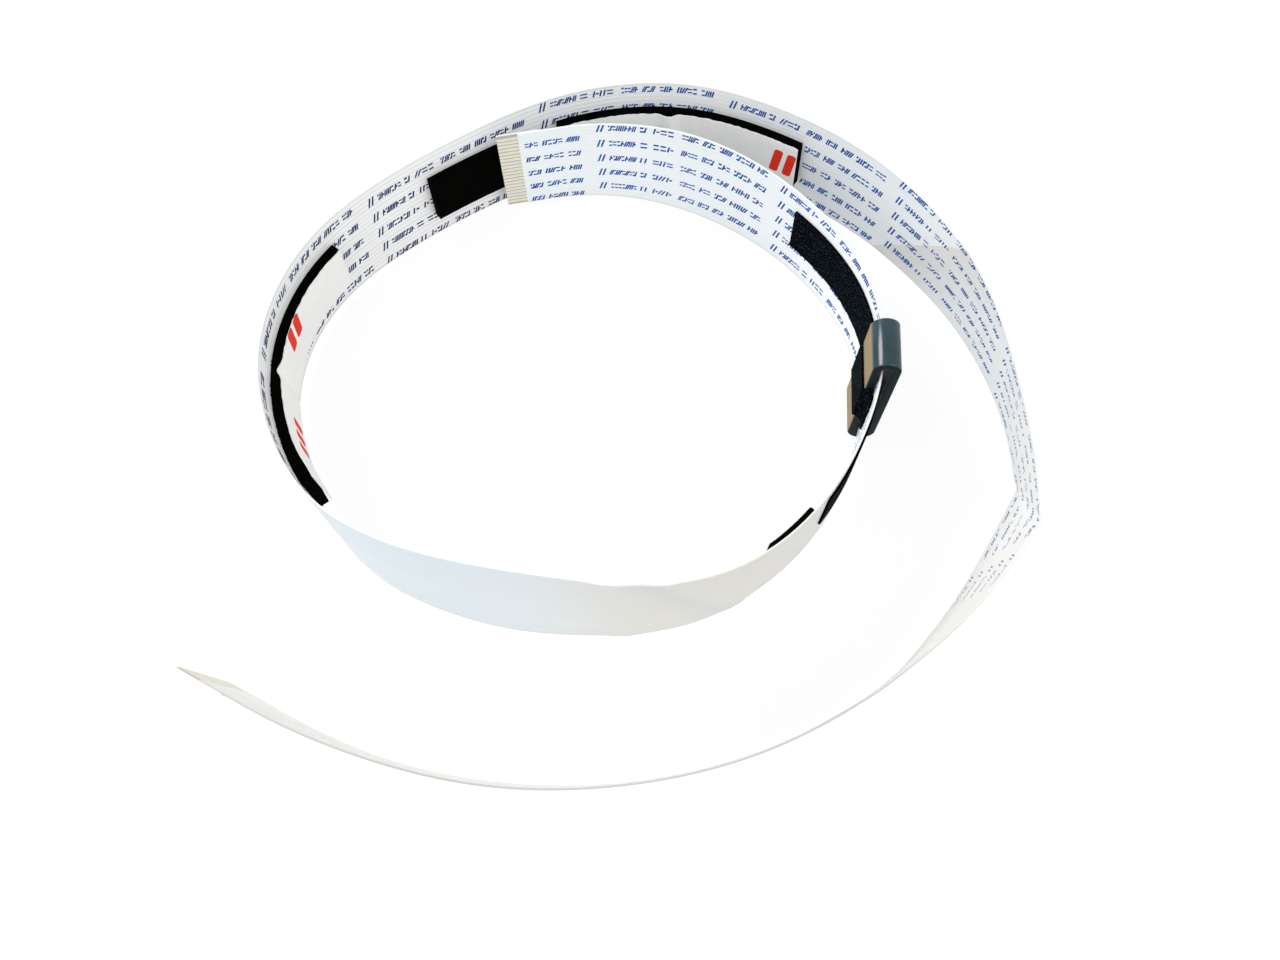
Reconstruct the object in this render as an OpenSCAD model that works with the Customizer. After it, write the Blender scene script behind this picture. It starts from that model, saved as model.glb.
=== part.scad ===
// Flat ribbon cable standing on its edge in a loose spiral of not quite two turns.
// It carries a flat ferrite core, cloth tape and four foam mounting pads.

/* [Ribbon] */
// Number of flat conductors side by side
conductor_count = 20; // [16:1:26]
// Spacing of the conductors across the ribbon
conductor_pitch = 1; // [0.9:0.05:1.25]
// Length of the ribbon from tip to tip
ribbon_length = 609.6; // [520:0.1:620]
// Thickness of each of the two insulating films
film_thickness = 0.15; // [0.1:0.01:0.25]
// Straight stretch at each tip, which goes into a connector
tip_straight = 10; // [9:0.5:16]

/* [Contacts] */
// Length of bare conductor at each tip
contact_length = 4; // [2.5:0.5:6]
// Width of one bare conductor
contact_width = 0.7; // [0.4:0.05:0.8]
// Thickness of one bare conductor
contact_thickness = 0.1; // [0.05:0.01:0.15]
// Length of the stiffener behind each tip
stiffener_length = 8; // [6:0.5:9]
// Thickness of the stiffener
stiffener_thickness = 0.22; // [0.15:0.01:0.35]

/* [Ferrite core] */
// Distance from the first tip to the middle of the core
core_at = 97.2; // [90:0.1:105]
// Length of the core along the ribbon
core_length = 9.2; // [7:0.1:12]
// Turn of the core against the ribbon in its slot, in degrees
core_turn = 3.5; // [0:0.5:4]
// Ferrite on each side of the slot
core_wall = 1.7; // [1.2:0.1:3]
// Ferrite past each end of the slot
core_end_wall = 1.5; // [1:0.1:2]
// Gap of the slot that the ribbon passes through
slot_gap = 1.6; // [1.6:0.1:2.5]
// Room beside each edge of the ribbon in the slot
slot_side_gap = 1.25; // [1.2:0.05:2]

/* [Cloth tape] */
// Thickness of the cloth tape
tape_thickness = 0.4; // [0.2:0.05:0.8]
// Start of the inner tape, from the first tip
inner_tape_at = 61; // [50:0.5:75]
// Width of the inner tape
inner_tape_width = 9.5; // [7:0.5:11]
// How far the inner tape sits above the ribbon's middle
inner_tape_raise = 1.25; // [0:0.05:2]
// Slope of the inner tape up to the core and down again, along the ribbon
tape_slope = 1.5; // [1:0.25:4]
// Length of the inner tape past the core
inner_tape_tail = 3; // [2:0.5:8]
// Gap between the core and the outer tape
outer_tape_gap = 0.5; // [0.2:0.1:2]
// Length of the outer tape, from that gap onwards
outer_tape_length = 23; // [10:0.5:26]
// Width of the outer tape
outer_tape_width = 10; // [7:0.5:11]
// How far the outer tape sits above the ribbon's middle
outer_tape_raise = 3; // [0:0.1:4]

/* [Foam pads] */
// Width of a foam pad
pad_width = 10; // [7:0.5:11]
// How far the long pads sit below the ribbon's middle
pad_drop = 0.3; // [0:0.1:1]
// How far the short pad at the front sits above the ribbon's middle
front_pad_raise = 3; // [0:0.1:4]
// Thickness of a foam pad
pad_thickness = 1.8; // [1:0.1:2.5]
// Thickness of the short pad at the front
front_pad_thickness = 1.2; // [0.8:0.1:2]
// Thickness of the release liner on a pad
liner_thickness = 0.15; // [0.1:0.01:0.3]
// Start of the short pad at the front, from the first tip
front_pad_at = 128.5; // [126:0.5:140]
// Length of the short pad at the front
front_pad_length = 9.5; // [6:0.5:14]
// Start of the pad at the left
left_pad_at = 221.5; // [210:0.5:228]
// Length of the pad at the left
left_pad_length = 51.5; // [40:0.5:56]
// Start of the pad that has lost its liner
bare_pad_at = 295.5; // [290:0.5:300]
// Length of the pad that has lost its liner
bare_pad_length = 18; // [10:0.5:20]
// Start of the pad at the rear
rear_pad_at = 323.5; // [322:0.5:330]
// Length of the pad at the rear
rear_pad_length = 50.5; // [40:0.5:56]

/* [Crease] */
// Distance from the first tip to the middle of the diagonal crease
crease_at = 459; // [455:0.5:470]
// Turn of the ribbon at the crease, in degrees
crease_turn = 28; // [16:1:32]
// Slant of the crease, as distance along the ribbon for each mm across it
crease_slant = 0.7; // [0.3:0.05:0.9]
// Length of ribbon that the crease bends
crease_width = 4; // [2:0.5:8]

/* [Hidden] */
$fn = 64;

ribbon_width = (conductor_count + 1) * conductor_pitch;
slot_width = ribbon_width + 2 * slot_side_gap;
core_width = slot_width + 2 * core_end_wall;
core_thickness = slot_gap + 2 * core_wall;
core_start = core_at - core_length / 2;
core_end = core_at + core_length / 2;
inner_tape_end = core_end + inner_tape_tail;
outer_tape_start = core_end + outer_tape_gap;

// What each strip covers of the ribbon's width, up from the lower edge
function band(width, raise) = [for (side = [-1, 1]) ribbon_width / 2 + raise + side * width / 2];
WHOLE_BAND = [0, ribbon_width];
TAPE_BAND = band(inner_tape_width, inner_tape_raise);
OUTER_TAPE_BAND = band(outer_tape_width, outer_tape_raise);
PAD_BAND = band(pad_width, -pad_drop);
FRONT_PAD_BAND = band(pad_width, front_pad_raise);

// The route, chosen every 20 mm along the ribbon from the first tip:
// heading in degrees, lean towards the inside of the loop in degrees, lift of the lower edge.
start = [-25.2, 52.1];
route_pitch = 20;
ROUTE = [
    [20, 5, 1], [-2, 2, 1], [-26, -2, 1], [-48, -1, 1],
    [-71, -1, 2], [-102, 0, 2], [-123, 0, 2], [-147, -1, 3],
    [-178, 4, 3.5], [-190, 9, 3.5], [-205, 5, 3], [-234, -2, 2],
    [-258, -2, 1.5], [-287, 0, 1], [-314, -1, 0.5], [-326, -2, 0],
    [-336, -3, 0], [-358, -3, 0], [-384, -3, 0.5], [-399, -2, 1.5],
    [-415, 1, 2.5], [-431, 7, 4], [-445, 12, 4.5], [-455, 10, 4],
    [-464, 12, 3], [-479, 12, 2.5], [-493, 5, 1.5], [-506, 0, 1],
    [-518, -4, 0.5], [-530, -6, 1], [-541, -9, 2], [-551, -11, 3]
];
ring_pitch = 4;
walk = 1;

function clamped(x, low, high) = min(max(x, low), high);
function eased(t) = let (c = clamped(t, 0, 1)) c * c * (3 - 2 * c);
function blend(a, b, c, d, t) =
    b + t / 2 * (c - a + t * (2 * a - 5 * b + 4 * c - d + t * (3 * (b - c) + d - a)));
function route_row(i) = ROUTE[clamped(i, 0, len(ROUTE) - 1)];

// Heading, lean and lift of the route at a distance along the ribbon, without the crease
function route_values(s) = let (q = s / route_pitch, i = floor(q))
    blend(route_row(i - 1), route_row(i), route_row(i + 1), route_row(i + 2), q - i);

// The straight tips keep the direction that the ribbon has where they begin
function bending(s) = clamped(s, tip_straight, ribbon_length - tip_straight);

// The crease turns the ribbon and, because it is slanted, tips it over too.
// past is 0 on the side of the first tip and 1 on the other side of the crease.
crease_heading = route_values(crease_at)[0] - crease_turn / 2;
function heading(s, past) = route_values(bending(s))[0] - past * crease_turn;
function lean(s, past) = route_values(bending(s))[1]
    - past * crease_turn * crease_slant * cos(heading(s, past) - crease_heading);
function bent_height(s, past) = route_values(s)[2] + ribbon_width / 2 * cos(lean(s, past));
function rise(s, past) = let (q = bending(s)) bent_height(q + 0.5, past) - bent_height(q - 0.5, past);
function middle_height(s, past) = let (q = bending(s)) bent_height(q, past) + (s - q) * rise(q, past);

// The middle line in plan, walked in short straight steps
function walk_heading(s) = heading(s, s > crease_at ? 1 : 0);
WALKED = [for (i = 0, p = start; i <= ribbon_length + walk;
    p = p + walk * [cos(walk_heading(i + walk / 2)), sin(walk_heading(i + walk / 2))], i = i + walk) p];
function plan(s) = let (q = s / walk, i = min(floor(q), len(WALKED) - 2))
    WALKED[i] + (q - i) * (WALKED[i + 1] - WALKED[i]);

function unit(v) = v / norm(v);
// Middle point, direction, width direction and inward normal of the ribbon
function frame(s, past) =
    let (h = heading(s, past), tip = lean(s, past), p = plan(s),
         along = unit([cos(h), sin(h), rise(s, past)]),
         inward = [sin(h), -cos(h), 0],
         across = cos(tip) * cross(inward, along) + sin(tip) * inward)
    [[p[0], p[1], middle_height(s, past)], along, across, cross(along, across)];

// The frames on both sides of the crease; each side runs on straight past the middle of the crease
function two_sides(s) = [frame(min(s, crease_at), 0), frame(max(s, crease_at), 1)];
function on_side(f, run, v, n) = f[0] + run * f[1] + v * f[2] + n * f[3];

// A point at s along the ribbon, u up from its lower edge and n inwards from its middle layer
function placed(sides, s, u, n) =
    let (v = u - ribbon_width / 2, t = eased((s - crease_at - v * crease_slant) / crease_width + 0.5))
    (1 - t) * on_side(sides[0], s - min(s, crease_at), v, n)
        + t * on_side(sides[1], s - max(s, crease_at), v, n);
function layer_pair(s, band, n0, n1) =
    let (sides = two_sides(s)) [for (n = [n0, n1]) [for (u = columns(band)) placed(sides, s, u, n)]];

// The core stands on the table, a little askew, and the ribbon hangs in its slot
core_floor_gap = 0.03;
core_rise = core_floor_gap + core_width / 2 - middle_height(core_at, 0);
CORE_FRAME = let (f = frame(core_at, 0), c = cos(core_turn), s = sin(core_turn))
    [f[0], c * f[1] - s * f[3], f[2], c * f[3] + s * f[1]];
function core_pair(x, n0, n1) =
    [for (n = [n0, n1]) [for (u = columns(TAPE_BAND)) on_side(CORE_FRAME, x, u - ribbon_width / 2, n)]];

// Stations and columns shared by every strip, so that strips on each other have the same faces
PIECE_ENDS = [
    contact_length, ribbon_length - contact_length, tip_straight, ribbon_length - tip_straight,
    inner_tape_at, core_start - tape_slope, core_end + tape_slope, inner_tape_end,
    outer_tape_start, outer_tape_start + outer_tape_length,
    front_pad_at, front_pad_at + front_pad_length, left_pad_at, left_pad_at + left_pad_length,
    bare_pad_at, bare_pad_at + bare_pad_length, rear_pad_at, rear_pad_at + rear_pad_length
];
function sorted(v) = len(v) < 2 ? v : let (p = v[floor(len(v) / 2)])
    concat(sorted([for (x = v) if (x < p) x]), [p], sorted([for (x = v) if (x > p) x]));
function within(values, low, high) = [for (v = values) if (v >= low - 0.001 && v <= high + 0.001) v];
COLUMNS = sorted(concat(WHOLE_BAND, TAPE_BAND, OUTER_TAPE_BAND, PAD_BAND, FRONT_PAD_BAND));
function columns(band) = within(COLUMNS, band[0], band[1]);

crease_reach = ribbon_width / 2 * crease_slant + crease_width / 2;
crease_rings = 12;
STATIONS = sorted(concat(
    [for (s = [0 : ring_pitch : ribbon_length]) if (abs(s - crease_at) > crease_reach) s],
    [for (i = [0 : crease_rings]) crease_at + (2 * i / crease_rings - 1) * crease_reach],
    [ribbon_length], PIECE_ENDS));
function stations(s0, s1) = within(STATIONS, s0, s1);

// Closed slab through a grid of points: GRID[station][layer][column]
module slab(GRID) {
    rows = len(GRID);
    cols = len(GRID[0][0]);
    function at(i, l, j) = (2 * i + l) * cols + j;
    function pair(a, b, c, d) = [[a, b, c], [a, c, d]];
    faces = [
        for (i = [0 : rows - 2], j = [0 : cols - 2])
            each pair(at(i, 0, j), at(i, 0, j + 1), at(i + 1, 0, j + 1), at(i + 1, 0, j)),
        for (i = [0 : rows - 2], j = [0 : cols - 2])
            each [[at(i, 1, j), at(i + 1, 1, j + 1), at(i, 1, j + 1)],
                  [at(i, 1, j), at(i + 1, 1, j), at(i + 1, 1, j + 1)]],
        for (i = [0 : rows - 2])
            each pair(at(i, 0, 0), at(i + 1, 0, 0), at(i + 1, 1, 0), at(i, 1, 0)),
        for (i = [0 : rows - 2], j = cols - 1)
            each pair(at(i, 0, j), at(i, 1, j), at(i + 1, 1, j), at(i + 1, 0, j)),
        for (j = [0 : cols - 2])
            each pair(at(0, 0, j), at(0, 1, j), at(0, 1, j + 1), at(0, 0, j + 1)),
        for (i = rows - 1, j = [0 : cols - 2])
            each pair(at(i, 0, j), at(i, 0, j + 1), at(i, 1, j + 1), at(i, 1, j))
    ];
    polyhedron([for (row = GRID, layer = row) each layer], faces);
}

module strip(s0, s1, band, n0, n1) {
    slab([for (s = stations(s0, s1)) layer_pair(s, band, n0, n1)]);
}

// Local axes on the ribbon: x along it, y outwards, z up its width from the middle line
module on_route(s) {
    past = s > crease_at ? 1 : 0;
    translate(frame(s, past)[0]) rotate([lean(s, past), -atan(rise(s, past)), heading(s, past)]) children();
}

module back_film() {
    color("#e3e8ec") strip(0, ribbon_length, WHOLE_BAND, -film_thickness, 0);
}

module front_film() {
    color("#f2f4f6") strip(contact_length, ribbon_length - contact_length, WHOLE_BAND, 0, film_thickness);
}

module contact_row() {
    first = -(conductor_count - 1) / 2 * conductor_pitch;
    for (i = [0 : conductor_count - 1])
        translate([0, -contact_thickness, first + i * conductor_pitch - contact_width / 2])
            cube([contact_length, contact_thickness, contact_width]);
}

module start_contacts() {
    color("#dccfb8") on_route(0) contact_row();
}

module end_contacts() {
    color("#dccfb8") on_route(ribbon_length) translate([-contact_length, 0, 0]) contact_row();
}

module stiffener() {
    translate([0, film_thickness, -ribbon_width / 2])
        cube([stiffener_length, stiffener_thickness, ribbon_width]);
}

module start_stiffener() {
    color("#e9edf2") on_route(0) stiffener();
}

module end_stiffener() {
    color("#e9edf2") on_route(ribbon_length) translate([-stiffener_length, 0, 0]) stiffener();
}

// Outline with round ends, long way up
module round_ended(length, width) {
    straight = length - width;
    square([width, straight], center = true);
    for (end = [-1, 1]) translate([0, end * straight / 2]) circle(d = width);
}

module ferrite_core() {
    color("#20282b") on_route(core_at) rotate([0, 0, core_turn]) translate([0, 0, core_rise])
        rotate([90, 0, 90]) translate([0, 0, -core_length / 2])
            linear_extrude(core_length) difference() {
                round_ended(core_width, core_thickness);
                round_ended(slot_width, slot_gap);
            }
}

// The inner tape lies on the ribbon, climbs over the core's inner face and comes down again
module inner_tape() {
    low = film_thickness;
    high = low + tape_thickness;
    top = core_thickness / 2;
    half = core_length / 2;
    color("#17191c") slab(concat(
        [for (s = stations(inner_tape_at, core_start - tape_slope)) layer_pair(s, TAPE_BAND, low, high)],
        [for (x = [-half, half]) core_pair(x, top, top + tape_thickness)],
        [for (s = stations(core_end + tape_slope, inner_tape_end)) layer_pair(s, TAPE_BAND, low, high)]
    ));
}

module outer_tape() {
    color("#17191c") strip(outer_tape_start, outer_tape_start + outer_tape_length, OUTER_TAPE_BAND,
        -film_thickness - tape_thickness, -film_thickness);
}

module foam(s, length, band, thickness) {
    color("#060606") strip(s, s + length, band, film_thickness, film_thickness + thickness);
}

module liner(s, length, band, thickness) {
    low = film_thickness + thickness;
    color("#dcdedc") strip(s, s + length, band, low, low + liner_thickness);
}

module bare_pad() foam(bare_pad_at, bare_pad_length, PAD_BAND, pad_thickness);
module rear_pad() foam(rear_pad_at, rear_pad_length, PAD_BAND, pad_thickness);
module rear_liner() liner(rear_pad_at, rear_pad_length, PAD_BAND, pad_thickness);
module left_pad() foam(left_pad_at, left_pad_length, PAD_BAND, pad_thickness);
module left_liner() liner(left_pad_at, left_pad_length, PAD_BAND, pad_thickness);
module front_pad() foam(front_pad_at, front_pad_length, FRONT_PAD_BAND, front_pad_thickness);
module front_liner() liner(front_pad_at, front_pad_length, FRONT_PAD_BAND, front_pad_thickness);

back_film();
front_film();
start_contacts();
end_contacts();
start_stiffener();
end_stiffener();
ferrite_core();
inner_tape();
outer_tape();
bare_pad();
rear_pad();
rear_liner();
left_pad();
left_liner();
front_pad();
front_liner();
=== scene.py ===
import random
from functools import lru_cache
from math import ceil, cos, exp, floor, pi, radians, sin

import bmesh
import bpy
from mathutils import Matrix, Vector, noise


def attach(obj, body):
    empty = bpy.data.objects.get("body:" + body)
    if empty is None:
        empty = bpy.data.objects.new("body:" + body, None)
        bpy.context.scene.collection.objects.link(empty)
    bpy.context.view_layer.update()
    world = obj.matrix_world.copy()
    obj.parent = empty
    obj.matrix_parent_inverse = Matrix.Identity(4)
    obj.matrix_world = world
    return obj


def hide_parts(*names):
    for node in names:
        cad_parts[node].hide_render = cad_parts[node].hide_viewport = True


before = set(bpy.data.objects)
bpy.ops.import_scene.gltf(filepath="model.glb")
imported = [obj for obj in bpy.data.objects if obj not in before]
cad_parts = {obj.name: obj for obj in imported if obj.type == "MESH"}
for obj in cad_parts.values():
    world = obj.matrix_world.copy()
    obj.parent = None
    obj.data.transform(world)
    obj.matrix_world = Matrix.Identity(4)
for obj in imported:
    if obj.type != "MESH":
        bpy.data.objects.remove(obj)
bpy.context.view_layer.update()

mm = 0.001


# The camera looks down at the spiral from the front, from the height and distance of the
# photograph, with the slight roll that the photograph has.
camera_height_angle = radians(66.2)
camera_distance = 188.8 * mm
camera_target = Vector((0.8 * mm, -8.6 * mm, 0))
camera_roll = radians(-0.75)


def linked(name, data):
    """A new object in the scene."""
    made = bpy.data.objects.new(name, data)
    bpy.context.scene.collection.objects.link(made)
    return made


camera = linked("camera", bpy.data.cameras.new("camera"))
camera.data.sensor_width = 36
camera.data.lens = 29.3
camera.data.clip_start = 0.01
camera.data.clip_end = 10
view_back = Vector((0, -cos(camera_height_angle), sin(camera_height_angle)))
camera.matrix_world = (
    Matrix.Translation(camera_target + camera_distance * view_back)
    @ Matrix.Rotation(pi / 2 - camera_height_angle, 4, "X")
    @ Matrix.Rotation(camera_roll, 4, "Z")
)
bpy.context.scene.camera = camera


# The ribbon's route: a flat cable of 20 conductors that stands on its lower edge and runs
# clockwise in not quite two turns, from the rear tip inside the outer turn to the front left
# tip. Beyond the right rear it has one diagonal crease from being folded for storage.
ribbon_length = 609.6 * mm
ribbon_width = 21 * mm
tip_straight = 10 * mm
route_start = Vector((-25.2 * mm, 52.1 * mm))
route_pitch = 20 * mm
# every 20 mm: heading in degrees, lean to the inside in degrees, lift of the lower edge in mm
ROUTE = [
    (20, 5, 1), (-2, 2, 1), (-26, -2, 1), (-48, -1, 1),
    (-71, -1, 2), (-102, 0, 2), (-123, 0, 2), (-147, -1, 3),
    (-178, 4, 3.5), (-190, 9, 3.5), (-205, 5, 3), (-234, -2, 2),
    (-258, -2, 1.5), (-287, 0, 1), (-314, -1, 0.5), (-326, -2, 0),
    (-336, -3, 0), (-358, -3, 0), (-384, -3, 0.5), (-399, -2, 1.5),
    (-415, 1, 2.5), (-431, 7, 4), (-445, 12, 4.5), (-455, 10, 4),
    (-464, 12, 3), (-479, 12, 2.5), (-493, 5, 1.5), (-506, 0, 1),
    (-518, -4, 0.5), (-530, -6, 1), (-541, -9, 2), (-551, -11, 3),
]
# the crease: its place on the middle line, turn in degrees, run along per rise, and width
crease_at = 459 * mm
crease_turn = 28
crease_slant = 0.7
crease_width = 4 * mm


def eased(t):
    c = min(max(t, 0), 1)
    return c * c * (3 - 2 * c)


def route_row(i):
    return ROUTE[min(max(i, 0), len(ROUTE) - 1)]


@lru_cache(maxsize=None)
def route_values(s):
    """Heading, lean and lift at a distance along the ribbon, without the crease."""
    i = floor(s / route_pitch)
    t = s / route_pitch - i
    return [
        b + t / 2 * (c - a + t * (2 * a - 5 * b + 4 * c - d + t * (3 * (b - c) + d - a)))
        for a, b, c, d in zip(route_row(i - 1), route_row(i), route_row(i + 1), route_row(i + 2))
    ]


def bending(s):
    """The straight tips keep the direction that the ribbon has where they begin."""
    return min(max(s, tip_straight), ribbon_length - tip_straight)


crease_heading = route_values(crease_at)[0] - crease_turn / 2


def heading(s, past):
    return route_values(bending(s))[0] - past * crease_turn


def lean(s, past):
    tipped = crease_turn * crease_slant * cos(radians(heading(s, past) - crease_heading))
    return route_values(bending(s))[1] - past * tipped


def bent_height(s, past):
    return route_values(s)[2] * mm + ribbon_width / 2 * cos(radians(lean(s, past)))


def rise(s, past):
    q = bending(s)
    return (bent_height(q + 0.5 * mm, past) - bent_height(q - 0.5 * mm, past)) / mm


# the route in plan, walked in steps of 1 mm to a little beyond the tip
WALKED = [route_start]
while len(WALKED) * mm < ribbon_length + 3 * mm:
    middle = (len(WALKED) - 0.5) * mm
    turned = radians(heading(middle, middle > crease_at))
    WALKED.append(WALKED[-1] + mm * Vector((cos(turned), sin(turned))))


@lru_cache(maxsize=None)
def ribbon_frame(s, past):
    """Middle point, direction, width direction and inward normal of the ribbon."""
    i = min(max(floor(s / mm), 0), len(WALKED) - 2)
    p = WALKED[i] + (s / mm - i) * (WALKED[i + 1] - WALKED[i])
    q = bending(s)
    h, tip = radians(heading(s, past)), radians(lean(s, past))
    along = Vector((cos(h), sin(h), rise(s, past))).normalized()
    inward = Vector((sin(h), -cos(h), 0))
    across = cos(tip) * inward.cross(along) + sin(tip) * inward
    height = bent_height(q, past) + (s - q) * rise(q, past)
    return Vector((p.x, p.y, height)), along, across, along.cross(across)


def on_side(side, run, v, n):
    return side[0] + run * side[1] + v * side[2] + n * side[3]


fold_at = 404 * mm
fold_slant = 1.04
ridge_at = 150 * mm
ridge_slant = 0.66
# soft dents from storage: place on the middle line, run along per rise, half width, depth
DENTS = [
    (fold_at, fold_slant, 2 * mm, 0.12 * mm),
    (163.7 * mm, 0.1, 3 * mm, 0.35 * mm),
    (ridge_at, ridge_slant, 2 * mm, 0.3 * mm),
    (497 * mm, 0.5, 4 * mm, 0.2 * mm),
]


def swelling(s, at, reach, height):
    """A soft round swelling at one place along the ribbon."""
    return height * exp(-((s - at) / reach) ** 2)


def dented(s, v):
    """How far the ribbon is pressed outwards."""
    return sum(swelling(s, at + slant * v, reach, depth) for at, slant, reach, depth in DENTS)


def placed(s, u, n):
    """The point at s along, u up from the lower edge and n inwards from the middle layer."""
    v = u - ribbon_width / 2
    t = eased((s - crease_at - v * crease_slant) / crease_width + 0.5)
    before, after = min(s, crease_at), max(s, crease_at)
    n -= dented(s, v)
    on_first = on_side(ribbon_frame(before, 0), s - before, v, n)
    on_second = on_side(ribbon_frame(after, 1), s - after, v, n)
    return (1 - t) * on_first + t * on_second


# The outer film: white polyester that runs over the whole length on the outer side of the
# spiral. It is laminated over the flat conductors, which show as fine ridges along it.
film_thickness = 0.15 * mm
conductor_count = 20
conductor_pitch = 1 * mm
groove_depth = 0.03 * mm
groove_half_width = 0.2 * mm
film_station_pitch = 2 * mm
crease_stations = 8
contact_length = 4 * mm
sharp_angle = radians(35)
tolerance = 0.01 * mm
# tones along the film in mm: where each starts and is full, where it goes and has gone, strength
BLUISH = [(-1, 0, 60, 110, 0.5), (145, 200, 205, 225, 1), (350, 390, 435, 465, 0.4)]
# warmer and darker along these stretches
WARM_GREY_ZONES = [(440, 500, 620, 640, 0.9), (105, 125, 155, 180, 0.9)]
SHADED_GAPS = [(215, 240, 330, 350, 0.5)]
bluish_tone = (0.69, 0.83, 0.94)
warm_grey_tone = (0.68, 0.64, 0.55)
# painted shadow just past the fold line
fold_painted_shadow = (0.70, 0.68, 0.66)
# painted shade just past the ridge line
ridge_painted_shade = (0.63, 0.65, 0.66)
# painted shade in the grooves between the conductors
groove_painted_shade = (0.50, 0.53, 0.56)
tan_edge = (0.46, 0.36, 0.25)
grey_edge = (0.40, 0.38, 0.36)
bare_tip_tone = (0.46, 0.43, 0.35)


class Value:
    """One output of a material node. Arithmetic on it adds Math nodes."""

    def __init__(self, finish, socket):
        self.finish, self.socket = finish, socket

    def __add__(self, other):
        return self.finish.math("ADD", self, other)

    def __sub__(self, other):
        return self.finish.math("SUBTRACT", self, other)

    def __rsub__(self, other):
        return self.finish.math("SUBTRACT", other, self)

    def __mul__(self, other):
        return self.finish.math("MULTIPLY", self, other)

    def __lt__(self, other):
        return self.finish.math("LESS_THAN", self, other)

    __radd__, __rmul__ = __add__, __mul__

    def output(self, name):
        return Value(self.finish, self.socket.node.outputs[name])


class Finish:
    """A material made of nodes."""

    def __init__(self, name):
        self.material = bpy.data.materials.new(name)
        self.material.use_nodes = True
        self.tree = self.material.node_tree
        self.tree.nodes.clear()

    def node(self, kind, settings, sockets):
        made = self.tree.nodes.new(kind)
        for key, value in settings.items():
            setattr(made, key, value)
        for key, value in sockets.items():
            if isinstance(value, Value):
                self.tree.links.new(value.socket, made.inputs[key])
            else:
                made.inputs[key].default_value = value
        return Value(self, made.outputs[0]) if len(made.outputs) else None

    def math(self, operation, *values):
        return self.node("ShaderNodeMath", {"operation": operation}, dict(enumerate(values)))

    def flat_place(self):
        """Millimetres along and across the flat piece."""
        return self.node("ShaderNodeUVMap", {"uv_map": "along_and_across"}, {})

    def solid_place(self):
        """Metres in the part's frame."""
        return self.node("ShaderNodeTexCoord", {}, {}).output("Object")

    def axes(self, where):
        split = self.node("ShaderNodeSeparateXYZ", {}, {0: where})
        return [split.output(axis) for axis in "XYZ"]

    def mix(self, factor, first, second):
        """Colour first where factor is 0, and second where it is 1."""
        colours = {
            key: value if isinstance(value, Value) else (*value, 1)
            for key, value in ((6, first), (7, second))
        }
        return self.node("ShaderNodeMix", {"data_type": "RGBA"}, {0: factor, **colours}).output(2)

    def ramp(self, value, low, high):
        """0 below low, 1 above high, and smooth between them."""
        return self.node("ShaderNodeMapRange", {"interpolation_type": "SMOOTHSTEP"}, {
            "Value": value, "From Min": low, "From Max": high,
        })

    def zone(self, value, start, full, going, gone):
        """0 up to start, 1 between full and going, and 0 again past gone."""
        return self.ramp(value, start, full) * (1.0 - self.ramp(value, going, gone))

    def noise(self, where, scale, detail, roughness=0.5):
        return self.node("ShaderNodeTexNoise", {}, {
            "Vector": where, "Scale": scale, "Detail": detail, "Roughness": roughness,
        })

    def bump(self, height, distance, strength):
        return self.node("ShaderNodeBump", {}, {
            "Height": height, "Distance": distance, "Strength": strength,
        })

    def stretched(self, where, factors):
        return self.node("ShaderNodeVectorMath", {"operation": "MULTIPLY"}, {0: where, 1: factors})

    def surface(self, **sockets):
        named = {key.replace("_", " "): value for key, value in sockets.items()}
        shader = self.node("ShaderNodeBsdfPrincipled", {}, {
            key: (*value, 1) if isinstance(value, tuple) else value for key, value in named.items()
        })
        self.node("ShaderNodeOutputMaterial", {}, {"Surface": shader})
        return self.material


def extruded(bm, way):
    """Turns a sheet of faces into a closed slab."""
    grown = bmesh.ops.extrude_face_region(bm, geom=bm.faces[:])["geom"]
    corners = [g for g in grown if isinstance(g, bmesh.types.BMVert)]
    bmesh.ops.translate(bm, verts=corners, vec=way)
    bmesh.ops.recalc_face_normals(bm, faces=bm.faces)


def flat_strip(stations, columns, low, high):
    """A closed flat slab, not laid yet: x along the ribbon, y up its width, z inwards."""
    bm = bmesh.new()
    bmesh.ops.create_grid(
        bm, x_segments=len(stations) - 1, y_segments=len(columns) - 1, size=0.5,
    )
    for v in bm.verts:
        i = round((v.co.x + 0.5) * (len(stations) - 1))
        j = round((v.co.y + 0.5) * (len(columns) - 1))
        v.co = Vector((stations[i], columns[j], low))
    extruded(bm, (0, 0, high - low))
    return bm


def spaced(low, high, pitch):
    """Evenly spaced values from low to high, about pitch apart."""
    count = max(1, ceil((high - low) / pitch - 0.001))
    return [low + (high - low) * i / count for i in range(count + 1)]


def lay(bm, place=placed):
    """Writes the flat coordinates in millimetres as the UV map, then lays the slab on the route."""
    uv = bm.loops.layers.uv.new("along_and_across")
    for face in bm.faces:
        for loop in face.loops:
            loop[uv].uv = (loop.vert.co.x / mm, loop.vert.co.y / mm)
    for v in bm.verts:
        v.co = place(*v.co)


def finished(name, bm, material, stands_for=()):
    """Makes the object of a piece and fixes it to the cable."""
    mesh = bpy.data.meshes.new(name)
    bm.to_mesh(mesh)
    bm.free()
    mesh.shade_smooth()
    mesh.set_sharp_from_angle(angle=sharp_angle)
    mesh.materials.append(material)
    piece = linked(name, mesh)
    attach(piece, "root")
    if stands_for:
        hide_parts(*stands_for)
    return piece


def film_columns():
    """Edges of the ribbon, and both sides and the bottom of the groove between two conductors."""
    gaps = [(i + 0.5) * conductor_pitch for i in range(conductor_count + 1)]
    sides = [g + side * groove_half_width for g in gaps for side in (-1, 0, 1)]
    return [0, *sides, ribbon_width]


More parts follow.
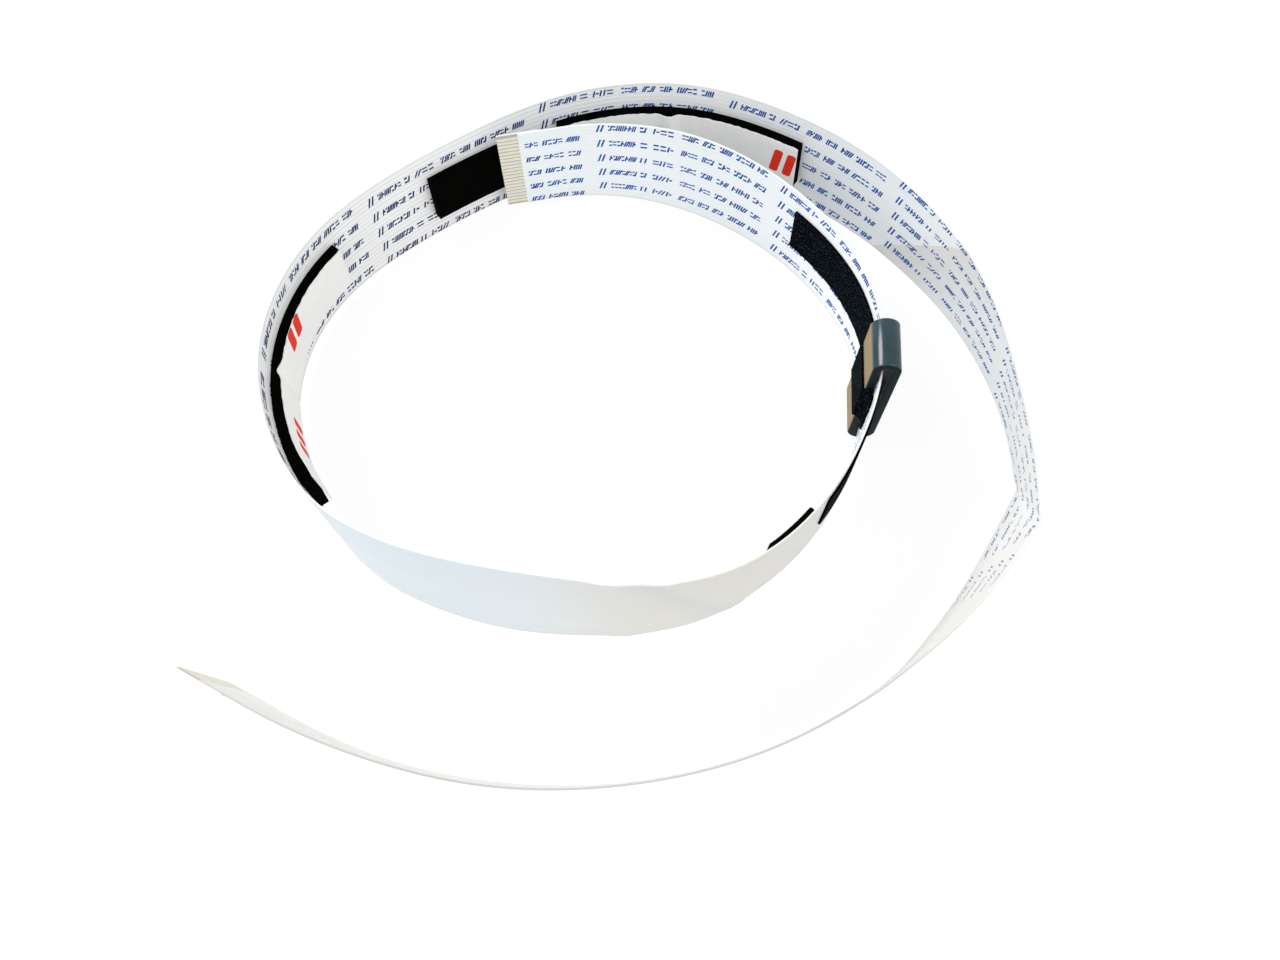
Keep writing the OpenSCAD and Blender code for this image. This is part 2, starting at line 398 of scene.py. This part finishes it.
def groove(u):
    """How far the film dips at a height on the ribbon."""
    off = abs(u / conductor_pitch - 0.5 - round(u / conductor_pitch - 0.5)) * conductor_pitch
    return groove_depth * (1 - eased(off / groove_half_width))


def film_finish(name, gap_contrast, clean_dark, clean_light):
    film = Finish(name)
    uv = film.flat_place()
    along, across, _ = film.axes(uv)
    cloud = film.noise(film.stretched(uv, (0.02, 0.1, 1)), 1.0, 3.0)
    streak = film.noise(film.stretched(uv, (0.012, 2.0, 1)), 1.0, 2.0)
    grain = film.noise(film.stretched(uv, (1.5, 3.0, 1)), 1.0, 3.0)

    def toned(table):
        return sum(film.zone(along, *places) * strength for *places, strength in table)

    def past_line(at, slant, blur, reach):
        """Full just past a slanting line across the ribbon, and gone reach mm past it."""
        past = along - across * slant - (at / mm - slant * ribbon_width / mm / 2)
        return film.zone(past, -blur, blur, 1.0, reach)

    clean = film.mix(cloud, clean_dark, clean_light)
    patchy = cloud * 0.5 + 0.5
    shade = film.mix(toned(BLUISH) * patchy, clean, film.mix(0.75, clean, bluish_tone))
    shade = film.mix(toned(WARM_GREY_ZONES) * patchy, shade, film.mix(0.5, clean, warm_grey_tone))
    # Painted shadow just past the slanting fold line, fading out over 24 mm.
    shade = film.mix(past_line(fold_at, fold_slant, 0.3, 24.0) * 0.8, shade, fold_painted_shadow)
    # Painted shade in a band up to 9 mm past the slanting ridge line.
    shade = film.mix(past_line(ridge_at, ridge_slant, 0.8, 9.0) * 0.6, shade, ridge_painted_shade)

    half_pitch = conductor_pitch / mm / 2
    gap = 1.0 - film.ramp(film.math("PINGPONG", across - half_pitch, half_pitch), 0.06, 0.24)
    ridged = toned(SHADED_GAPS) + 0.12
    # Painted shade in the grooves between the conductors, strongest in the shaded stretches.
    shade = film.mix(gap * streak * ridged * gap_contrast, shade, groove_painted_shade)

    top = ribbon_width / mm
    lower_edge = 1.0 - film.ramp(across, 0.05, 0.3)
    upper_edge = film.ramp(across, top - 0.25, top) * film.ramp(along, 470, 510)
    edge_tone = film.mix(film.ramp(along, 440, 480), tan_edge, grey_edge)
    shade = film.mix((lower_edge + upper_edge) * (streak * 0.6 + 0.35), shade, edge_tone)

    from_tip = film.math("MINIMUM", along, ribbon_length / mm - along)
    shade = film.mix(from_tip < contact_length / mm, shade, bare_tip_tone)
    return film.surface(
        Base_Color=shade,
        Roughness=streak * 0.16 + 0.34,
        Normal=film.bump(streak + grain * 0.3, 0.03 * mm, 0.5),
    )


def film_piece(
    name, low, high, face, start, end, stands_for, gap_contrast, clean_dark, clean_light,
):
    bm = flat_strip(spaced(start, end, film_station_pitch), film_columns(), low, high)
    for step in range(crease_stations + 1):
        cut = crease_at + (step / crease_stations - 0.5) * crease_width
        bmesh.ops.bisect_plane(
            bm, geom=bm.verts[:] + bm.edges[:] + bm.faces[:],
            plane_co=(cut, ribbon_width / 2, 0), plane_no=(1, -crease_slant, 0),
        )
    for v in bm.verts:
        if abs(v.co.z - face) < tolerance:
            v.co.z -= gap_contrast * groove(v.co.y) * (1 if face > 0 else -1)
    lay(bm)
    finish = film_finish(name, gap_contrast, clean_dark, clean_light)
    return finished(name, bm, finish, stands_for)


# The outer film's colours are painted darker than the inner film's: painted shade on the outer side
# of the spiral.
outer_film = film_piece(
    "outer_film", -film_thickness, 0, -film_thickness, 0, ribbon_length, ["back_film"],
    gap_contrast=0.5, clean_dark=(0.70, 0.71, 0.71), clean_light=(0.78, 0.78, 0.77),
)


# The inner film: the same polyester on the inner side of the spiral. It stops 4 mm before
# each tip, where the conductors lie bare.
inner_film = film_piece(
    "inner_film", 0, film_thickness, film_thickness,
    contact_length, ribbon_length - contact_length, ["front_film"],
    gap_contrast=1.0, clean_dark=(0.90, 0.91, 0.90), clean_light=(0.97, 0.97, 0.955),
)


# The print: small royal blue marks on the inner film, in rows that drift up and down from one
# group to the next. They stand for printed batch lines, as plain bars, and end past the crease.
print_rows = 5
print_row_pitch = 4.2 * mm
print_start = -18.65 * mm
print_pitch = 37.7 * mm
print_end = 478 * mm
worn_from = 430 * mm
worn_share = 0.15
tick_height = 1.4 * mm
tall_tick = 0.9
stroke = 0.34 * mm
italic = 0.25
slash_pitch = 0.75 * mm
slash_width = 0.35 * mm
slash_overhang = 0.3 * mm
slash_lean = 0.6 * mm
blank_edge = 0.15 * mm
blank_end = 0.5 * mm
lowest_bar = 0.2 * mm
narrowing = 0.14
ink_thickness = 0.02 * mm
# how far each group sits above the even rows, in mm
ROW_SHIFTS = [-1.4, 1.1, 0.3, 0, 0, 0, 0, -0.3, -1.35, 0.6, -0.6, 1.3, 0, 0]
# start and end along the group in mm, number of ticks
WORDS = [
    (2.1, 7.4, 7), (8.1, 9.8, 1), (10.6, 14.8, 3), (16.2, 19.5, 5), (20.4, 22.8, 3),
    (23.7, 26.3, 3), (27.1, 31.1, 4), (31.8, 34.3, 3),
]
# each tick as bars in a cell one wide and one high: left, bottom, right, top, slant
TICKS = [
    [(0.0, 0.0, 0.38, 1.0, 0), (0.52, 0.0, 0.88, 1.0, 0)],
    [(0.0, 0.12, 0.86, 0.34, 0), (0.0, 0.68, 0.86, 0.9, 0)],
    [(0.0, 0.0, 0.38, 1.0, 0.3), (0.48, 0.0, 0.86, 1.0, 0.3)],
    [(0.05, 0.0, 0.8, 0.26, 0), (0.05, 0.74, 0.8, 1.0, 0)],
    [(0.0, 0.0, 0.4, 0.3, 0), (0.5, 0.0, 0.88, 1.0, 0), (0.0, 0.7, 0.4, 1.0, 0)],
    [(0.05, 0.0, 0.45, 1.0, 0), (0.45, 0.36, 0.85, 0.64, 0)],
]


def inked(bm, bar, face=film_thickness, depth=groove_depth + ink_thickness):
    """One flat bar of ink, on a face so far inwards from the ribbon's middle layer."""
    left, bottom, right, top, slant = bar
    for v in bmesh.ops.create_cube(bm, size=1.0)["verts"]:
        x, y, z = v.co
        v.co = Vector((
            (left + right) / 2 + x * (right - left) + slant * y,
            (bottom + top) / 2 + y * (top - bottom),
            face + (ink_thickness if z > 0 else -depth),
        ))


def group_bars(chance):
    """The bars of one row of one group: left, bottom, right, top and slant."""
    bars = []
    for word_start, word_end, count in WORDS:
        cell = (word_end - word_start) * mm / count
        for i in range(count):
            x = word_start * mm + i * cell
            for left, bottom, right, top, slant in chance.choice(TICKS):
                width = (right - left) * cell
                if top - bottom > tall_tick:
                    width = min(width, stroke)
                bars.append((
                    x + left * cell, bottom * tick_height,
                    x + left * cell + width, top * tick_height,
                    slant * cell + italic * (top - bottom) * tick_height,
                ))
    return bars


chance = random.Random(7)
slashes = [
    (x, -slash_overhang, x + slash_width, tick_height + slash_overhang, slash_lean)
    for x in (0, slash_pitch)
]
bm = bmesh.new()
for group, row_shift in enumerate(ROW_SHIFTS):
    group_start = print_start + group * print_pitch
    for row in range(-1, print_rows + 1):
        base = (row + 0.5) * print_row_pitch + row_shift * mm - tick_height / 2
        bars = group_bars(chance)
        if group_start > worn_from:
            bars = [bar for bar in bars if chance.random() > worn_share]
        for left, bottom, right, top, slant in bars + slashes:
            x0, x1 = group_start + left, group_start + right
            y0 = max(base + bottom, blank_edge)
            y1 = min(base + top, ribbon_width - blank_edge)
            if x0 > fold_at:
                y0, y1 = y0 + narrowing * (y1 - y0), y1 - narrowing * (y1 - y0)
            if x0 > contact_length + blank_end and x1 < print_end and y1 - y0 > lowest_bar:
                inked(bm, (x0, y0, x1, y1, slant))
lay(bm)

ink = Finish("print_ink")
uv = ink.flat_place()
along = ink.axes(uv)[0]
wear = ink.noise(uv, 1.4, 3.0)
shade = ink.mix(ink.ramp(wear, 0.40, 0.65), (0.0, 0.040, 0.22), (0.0, 0.15, 0.60))
shade = ink.mix(ink.zone(along, 150.0, 220.0, 310.0, 345.0), shade, (0.0, 0.007, 0.12))
rubbed = ink.mix(ink.ramp(along, 468.0, 478.0), (0.26, 0.30, 0.48), (0.56, 0.57, 0.60))
ink_finish = ink.surface(
    Base_Color=ink.mix(ink.ramp(along, 425.0, 450.0) * (wear * 0.5 + 0.5), shade, rubbed),
    Roughness=wear * 0.2 + 0.5,
    Specular_IOR_Level=0.15,
)
print_marks = finished("print_marks", bm, ink_finish)


# The bare contacts: flat tinned copper conductors at both tips. The CAD bars have their
# true size and stay.
CONTACTS = ["start_contacts", "end_contacts"]


def dressed(nodes, material):
    """Gives CAD nodes that stay in view their material."""
    for name in nodes:
        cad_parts[name].data.materials.clear()
        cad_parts[name].data.materials.append(material)


tinned = Finish("tinned_contact")
tarnish = tinned.noise(tinned.solid_place(), 900.0, 3.0)
contact_finish = tinned.surface(
    Base_Color=tinned.mix(tarnish, (0.72, 0.69, 0.58), (0.86, 0.84, 0.74)),
    Roughness=tarnish * 0.25 + 0.35,
    Metallic=0.2,
)
dressed(CONTACTS, contact_finish)


# The stiffeners: a strip of thicker polyester glued behind each tip, so that the tip can be
# pushed into a connector. The CAD strips stay.
STIFFENERS = ["start_stiffener", "end_stiffener"]

stiff = Finish("stiffener_film")
cloud = stiff.noise(stiff.solid_place(), 300.0, 3.0)
stiffener_finish = stiff.surface(
    Base_Color=stiff.mix(cloud, (0.76, 0.82, 0.88), (0.84, 0.88, 0.92)),
    Roughness=cloud * 0.2 + 0.3,
)
dressed(STIFFENERS, stiffener_finish)


# The ferrite core: a flat block of pressed and coated ferrite with rounded edges round the
# ribbon. It stands on the table a little askew, and the ribbon hangs in its slot.
core_at = 97.2 * mm
core_length = 9.2 * mm
core_turn = radians(3.5)
core_wall = 1.7 * mm
core_end_wall = 1.5 * mm
slot_gap = 1.6 * mm
slot_side_gap = 1.25 * mm
core_edge_radius = 0.35 * mm
core_floor_gap = 0.03 * mm
core_segments = 48
slot_width = ribbon_width + 2 * slot_side_gap
core_width = slot_width + 2 * core_end_wall
core_thickness = slot_gap + 2 * core_wall
straight_side = ribbon_frame(core_at, 0)
core_side = (
    straight_side[0],
    cos(core_turn) * straight_side[1] - sin(core_turn) * straight_side[3],
    straight_side[2],
    cos(core_turn) * straight_side[3] + sin(core_turn) * straight_side[1],
)
core_rise = core_floor_gap + core_width / 2 - straight_side[0].z


def round_ended_loop(bm, length, width):
    """Outline with round ends in the plane x = 0, long along y."""
    made = bmesh.ops.create_circle(bm, cap_ends=False, radius=width / 2, segments=core_segments)
    for v in made["verts"]:
        x, y, _ = v.co
        end = (length - width) / 2
        v.co = Vector((0, y + (end if y > 0.001 * width else -end if y < -0.001 * width else 0), x))


def on_core(x, v, n):
    return on_side(core_side, x, v + core_rise, n)


bm = bmesh.new()
round_ended_loop(bm, core_width, core_thickness)
round_ended_loop(bm, slot_width, slot_gap)
bmesh.ops.bridge_loops(bm, edges=bm.edges[:])
bmesh.ops.translate(bm, verts=bm.verts, vec=(-core_length / 2, 0, 0))
extruded(bm, (core_length, 0, 0))
rims = [e for e in bm.edges if len(e.link_faces) == 2 and e.calc_face_angle() > 1]
bmesh.ops.bevel(
    bm, geom=rims, offset=core_edge_radius, segments=4, profile=0.5, affect="EDGES", material=-1,
)
bmesh.ops.rotate(bm, verts=bm.verts, matrix=Matrix.Rotation(pi / 2, 3, "X"))
lay(bm, lambda x, n, v: on_core(x, v, -n))

ferrite = Finish("coated_ferrite")
position = ferrite.solid_place()
lengthwise, through, _ = ferrite.axes(ferrite.flat_place())
height = ferrite.axes(position)[2]
grain = ferrite.noise(position, 2600.0, 3.0)
patch = ferrite.noise(position, 260.0, 3.0)
inner_face = -core_thickness / 2 / mm
end_face = core_length / 2 / mm
inner_flat = 1.0 - ferrite.ramp(through, inner_face + 0.02, inner_face + 0.25)
from_middle = ferrite.math("ABSOLUTE", lengthwise)
coated = 1.0 - ferrite.ramp(from_middle, end_face - 0.25, end_face - 0.02)
shade = ferrite.mix(patch, (0.001, 0.005, 0.007), (0.004, 0.014, 0.018))
# Painted sheen: the top of the coated block is painted lighter and teal, as where the lamps light
# it.
top_painted_sheen = ferrite.mix(patch, (0.003, 0.020, 0.027), (0.012, 0.048, 0.060))
shade = ferrite.mix(coated * ferrite.ramp(height, 19 * mm, 26 * mm), shade, top_painted_sheen)
# The inner flat is painted tan, as a painted reflection of a warm bright surface, and it has no
# coat.
ferrite_finish = ferrite.surface(
    Base_Color=ferrite.mix(inner_flat * 0.85, shade, (0.36, 0.27, 0.15)),
    Roughness=patch * 0.1 + 0.55,
    Normal=ferrite.bump(grain, 0.02 * mm, 0.3),
    Specular_IOR_Level=0.12,
    Coat_Weight=coated * (1.0 - inner_flat) * (patch * 0.3 + 0.75),
    Coat_Roughness=0.2,
    Coat_IOR=1.6,
    Coat_Tint=(0.75, 0.92, 1.0),
)
ferrite_block = finished("ferrite_block", bm, ferrite_finish, ["ferrite_core"])


# The inner cloth tape: black fabric tape on the inner face. It starts before the core,
# climbs over the core's inner flat, comes down again and holds the core in its place.
tape_thickness = 0.4 * mm
inner_tape_at = 61 * mm
tape_slope = 1.5 * mm
inner_tape_tail = 3 * mm
inner_tape_width = 9.5 * mm
inner_tape_raise = 1.25 * mm
thread_pitch = 0.22
soft_pitch = 0.5 * mm


def over_core(s, u, n):
    """Inner tape: n is counted from the film, or from the core's inner flat."""
    past_end = abs(s - core_at) - core_length / 2
    t = min(max(past_end / tape_slope, 0), 1)
    x = min(max(s - core_at, -core_length / 2), core_length / 2)
    over = on_side(core_side, x, u - ribbon_width / 2, core_thickness / 2 + n)
    return (1 - t) * over + t * placed(s, u, film_thickness + n)


def cloth_finish(name, fluff):
    cloth = Finish(name)
    uv = cloth.flat_place()
    waves = [axis * (pi / thread_pitch) for axis in cloth.axes(uv)[:2]]
    warp, weft = [cloth.math("SINE", wave) for wave in waves]
    weave = warp * weft * 0.5 + 0.5
    lint = cloth.noise(uv, 2.0, 4.0, 0.7)
    speckle = cloth.ramp(cloth.noise(uv, 3.4, 2.0, 0.6), 0.59, 0.70)
    shade = cloth.mix(lint, (0.0001, 0.0004, 0.0008), (0.001, 0.0025, 0.004))
    shade = cloth.mix(speckle * fluff, shade, (0.07, 0.12, 0.16))
    return cloth.surface(
        Base_Color=shade,
        Roughness=0.9,
        Normal=cloth.bump(weave + lint * 0.5, 0.05 * mm, 0.7),
        Specular_IOR_Level=0.02,
    )


def cloth_piece(name, node, start, end, low, width, face, place, fluff):
    bm = flat_strip(
        spaced(start, end, soft_pitch), spaced(low, low + width, soft_pitch),
        face, face + tape_thickness,
    )
    lay(bm, place)
    return finished(name, bm, cloth_finish(name, fluff), [node])


inner_cloth = cloth_piece(
    "inner_cloth_tape", "inner_tape",
    inner_tape_at, core_at + core_length / 2 + inner_tape_tail,
    (ribbon_width - inner_tape_width) / 2 + inner_tape_raise, inner_tape_width,
    0, over_core, fluff=0.9,
)


# The outer cloth tape: a piece of the same tape on the outer face, from the core onwards.
outer_tape_gap = 0.5 * mm
outer_tape_length = 23 * mm
outer_tape_width = 10 * mm
outer_tape_raise = 3 * mm
outer_tape_start = core_at + core_length / 2 + outer_tape_gap

outer_cloth = cloth_piece(
    "outer_cloth_tape", "outer_tape",
    outer_tape_start, outer_tape_start + outer_tape_length,
    (ribbon_width - outer_tape_width) / 2 + outer_tape_raise, outer_tape_width,
    -film_thickness - tape_thickness, placed, fluff=0.05,
)


# The foam pads: strips of black closed-cell foam glued to the inner face, which hold the
# cable to the housing it runs through. They are die cut, and their edges fray a little.
pad_width = 10 * mm
pad_drop = 0.3 * mm
front_pad_raise = 3 * mm
pad_thickness = 1.8 * mm
front_pad_thickness = 1.2 * mm
fray = 0.08 * mm
fray_inside = 0.4
frayed_margin = 0.1 * mm
# name, start and length along the ribbon, middle above the ribbon's middle, thickness
PADS = [
    ("bare_pad", 295.5 * mm, 18 * mm, -pad_drop, pad_thickness),
    ("rear_pad", 323.5 * mm, 50.5 * mm, -pad_drop, pad_thickness),
    ("left_pad", 221.5 * mm, 51.5 * mm, -pad_drop, pad_thickness),
    ("front_pad", 128.5 * mm, 9.5 * mm, front_pad_raise, front_pad_thickness),
]
# creases pressed into a pad and its liner: place, half length, depth
PINCHES = {"left_pad": [(244.8 * mm, 1.3 * mm, 0.8 * mm)]}


def pinched(name, s, up):
    """How deep a pad is pressed in, where up is 0 at its lower edge and 1 at its upper one."""
    return (0.4 + 0.6 * eased(up)) * sum(swelling(s, *pinch) for pinch in PINCHES.get(name, ()))


foam = Finish("black_foam")
position = foam.solid_place()
cells = foam.node("ShaderNodeTexVoronoi", {}, {"Vector": position, "Scale": 3200.0})
tone = foam.noise(position, 500.0, 3.0)
foam_finish = foam.surface(
    Base_Color=foam.mix(tone, (0.0003, 0.0003, 0.0002), (0.002, 0.002, 0.0015)),
    Roughness=0.95,
    Normal=foam.bump(cells, 0.06 * mm, 0.6),
    Specular_IOR_Level=0.02,
)
for name, start, length, middle, thickness in PADS:
    low = ribbon_width / 2 + middle - pad_width / 2
    bm = flat_strip(
        spaced(start, start + length, soft_pitch), spaced(low, low + pad_width, soft_pitch),
        film_thickness, film_thickness + thickness,
    )
    for v in bm.verts:
        if v.co.z > film_thickness + 0.5 * thickness:
            off_edge = min(v.co.y - low, low + pad_width - v.co.y)
            share = 1 if off_edge < frayed_margin else fray_inside
            v.co.z -= fray * (1 + noise.noise(v.co / mm)) * share
            v.co.z -= pinched(name, v.co.x, (v.co.y - low) / pad_width)
    lay(bm)
    pad = finished("foam_" + name, bm, foam_finish, [name])


# The release liners: thin coated paper that still covers the glue of three of the pads. Their
# upper edges are torn unevenly, one has a small buckle and one lifts off its pad near its end.
liner_thickness = 0.15 * mm
liner_pitch = 0.4 * mm
liner_columns = 20
liner_inset = 0.15 * mm
mark_depth = 0.04 * mm
mark_corner = 0.5 * mm
# name: how far the torn edge drops, how uneven it is, buckles as place, half length, height
LINERS = {
    "rear_pad": (0.15 * mm, 0.09 * mm, [(346.2 * mm, 1.4 * mm, 0.8 * mm)]),
    "left_pad": (0.15 * mm, 0.12 * mm, [(223 * mm, 4 * mm, 0.4 * mm)]),
    "front_pad": (0.1 * mm, 0.1 * mm, []),
}
# plain red bars in mm: place along the ribbon, height on it, length, rise, slant
RED_MARKS = {
    "rear_pad": [(368.7, 7.4, 1.9, 5.6, 1.0), (371.6, 7.4, 1.9, 5.6, 1.0)],
    "left_pad": [
        (251.4, 10.8, 2.3, 4.3, 0.6), (254.7, 10.8, 2.3, 4.3, 0.6),
        (230.6, 6.4, 1.6, 3.8, 0.8), (233.2, 6.4, 1.6, 3.8, 0.8), (235.8, 6.4, 1.6, 3.8, 0.8),
    ],
}


def buckled(s, buckles):
    return sum(swelling(s, *buckle) for buckle in buckles)


liner = Finish("release_liner")
fibre = liner.noise(liner.flat_place(), 0.8, 4.0)
liner_finish = liner.surface(
    Base_Color=liner.mix(fibre, (0.86, 0.86, 0.83), (0.95, 0.95, 0.92)),
    Roughness=fibre * 0.2 + 0.4,
    Normal=liner.bump(fibre, 0.04 * mm, 0.4),
)
red = Finish("red_mark")
faded = red.noise(red.flat_place(), 2.0, 3.0)
red_finish = red.surface(
    Base_Color=red.mix(faded, (0.72, 0.008, 0.002), (0.85, 0.05, 0.015)),
    Roughness=faded * 0.2 + 0.5,
    Specular_IOR_Level=0.15,
)
for name, start, length, middle, thickness in PADS:
    if name not in LINERS:
        continue
    drop, unevenness, buckles = LINERS[name]
    low = ribbon_width / 2 + middle - pad_width / 2
    face = film_thickness + thickness
    bm = flat_strip(
        spaced(start, start + length, liner_pitch), spaced(0, 1, 1 / liner_columns),
        face, face + liner_thickness,
    )
    for v in bm.verts:
        ragged = 2.2 * noise.noise((v.co.x / mm * 0.9, thickness / mm, start / mm))
        torn = unevenness * max(-1, min(1, ragged))
        v.co.y = low + liner_inset + v.co.y * (pad_width - liner_inset - drop - torn)
        v.co.z += buckled(v.co.x, buckles) - pinched(name, v.co.x, (v.co.y - low) / pad_width)
    lay(bm)
    node = name.replace("pad", "liner")
    finished("paper_" + node, bm, liner_finish, [node])

    if name in RED_MARKS:
        bm = bmesh.new()
        for at, height, width, tall, slant in RED_MARKS[name]:
            above = face + liner_thickness + buckled(at * mm, buckles)
            bar = (at, height, at + width, height + tall, slant)
            inked(bm, [edge * mm for edge in bar], above, mark_depth)
        uprights = [
            e for e in bm.edges if abs((e.verts[0].co - e.verts[1].co).z) > mark_depth / 2
        ]
        bmesh.ops.bevel(
            bm, geom=uprights, offset=mark_corner, segments=3, profile=0.5,
            affect="EDGES", material=-1,
        )
        lay(bm)
        finished("red_marks_" + node, bm, red_finish)


# The ribbon is one flat cable from the rear tip to the front left tip; its middle line is worked
# out every 2 mm. Everything else is fixed on it.
placed(0, ribbon_width / 2, 0)
[placed(s, ribbon_width / 2, 0) for s in spaced(0, ribbon_length, 2 * mm)]


# The floor: a plain white sheet. It looks white to the camera and keeps the soft shadow.
floor_size = 3.0
floor_height = -0.1 * mm
floor_glow = 0.88
floor_brightness = 1.03

bm = bmesh.new()
bmesh.ops.create_grid(bm, x_segments=1, y_segments=1, size=floor_size / 2)
bmesh.ops.translate(bm, verts=bm.verts, vec=(0, 0, floor_height))
mesh = bpy.data.meshes.new("floor")
bm.to_mesh(mesh)
bm.free()
floor_plane = linked("floor", mesh)

sheet = Finish("floor_sheet")
rays = sheet.node("ShaderNodeLightPath", {}, {})
seen = sheet.math("MAXIMUM", rays.output("Is Camera Ray"), rays.output("Is Glossy Ray"))
diffuse = sheet.node("ShaderNodeBsdfDiffuse", {}, {"Color": (0.86, 0.86, 0.86, 1)})
glow = sheet.node("ShaderNodeEmission", {}, {
    "Color": (1, 1, 1, 1), "Strength": floor_brightness,
})
mixed = sheet.node("ShaderNodeMixShader", {}, {0: seen * floor_glow, 1: diffuse, 2: glow})
sheet.node("ShaderNodeOutputMaterial", {}, {"Surface": mixed})
mesh.materials.append(sheet.material)


# The light: a bright plain room, a soft window at the rear left and a soft lamp on each side of
# the front.
room_brightness = 0.7

room = bpy.data.worlds.new("room")
bpy.context.scene.world = room
room.use_nodes = True
room.node_tree.nodes["Background"].inputs["Color"].default_value = (1, 1, 1, 1)
room.node_tree.nodes["Background"].inputs["Strength"].default_value = room_brightness


def soft_lamp(name, place, size, power):
    """A round lamp that points at the middle of the part."""
    lamp = linked(name, bpy.data.lights.new(name, "AREA"))
    lamp.data.shape = "DISK"
    lamp.data.size = size
    lamp.data.energy = power
    lamp.location = place
    lamp.rotation_euler = (-Vector(place)).to_track_quat("-Z", "Y").to_euler()


soft_lamp("window", (-0.60, 0.48, 0.60), 0.42, 4.4)
soft_lamp("right_lamp", (0.50, -0.3, 0.6), 0.6, 1.9)
soft_lamp("left_lamp", (-0.50, -0.4, 0.5), 0.6, 1.6)

bpy.context.scene.view_settings.view_transform = "Standard"
bpy.context.view_layer.update()
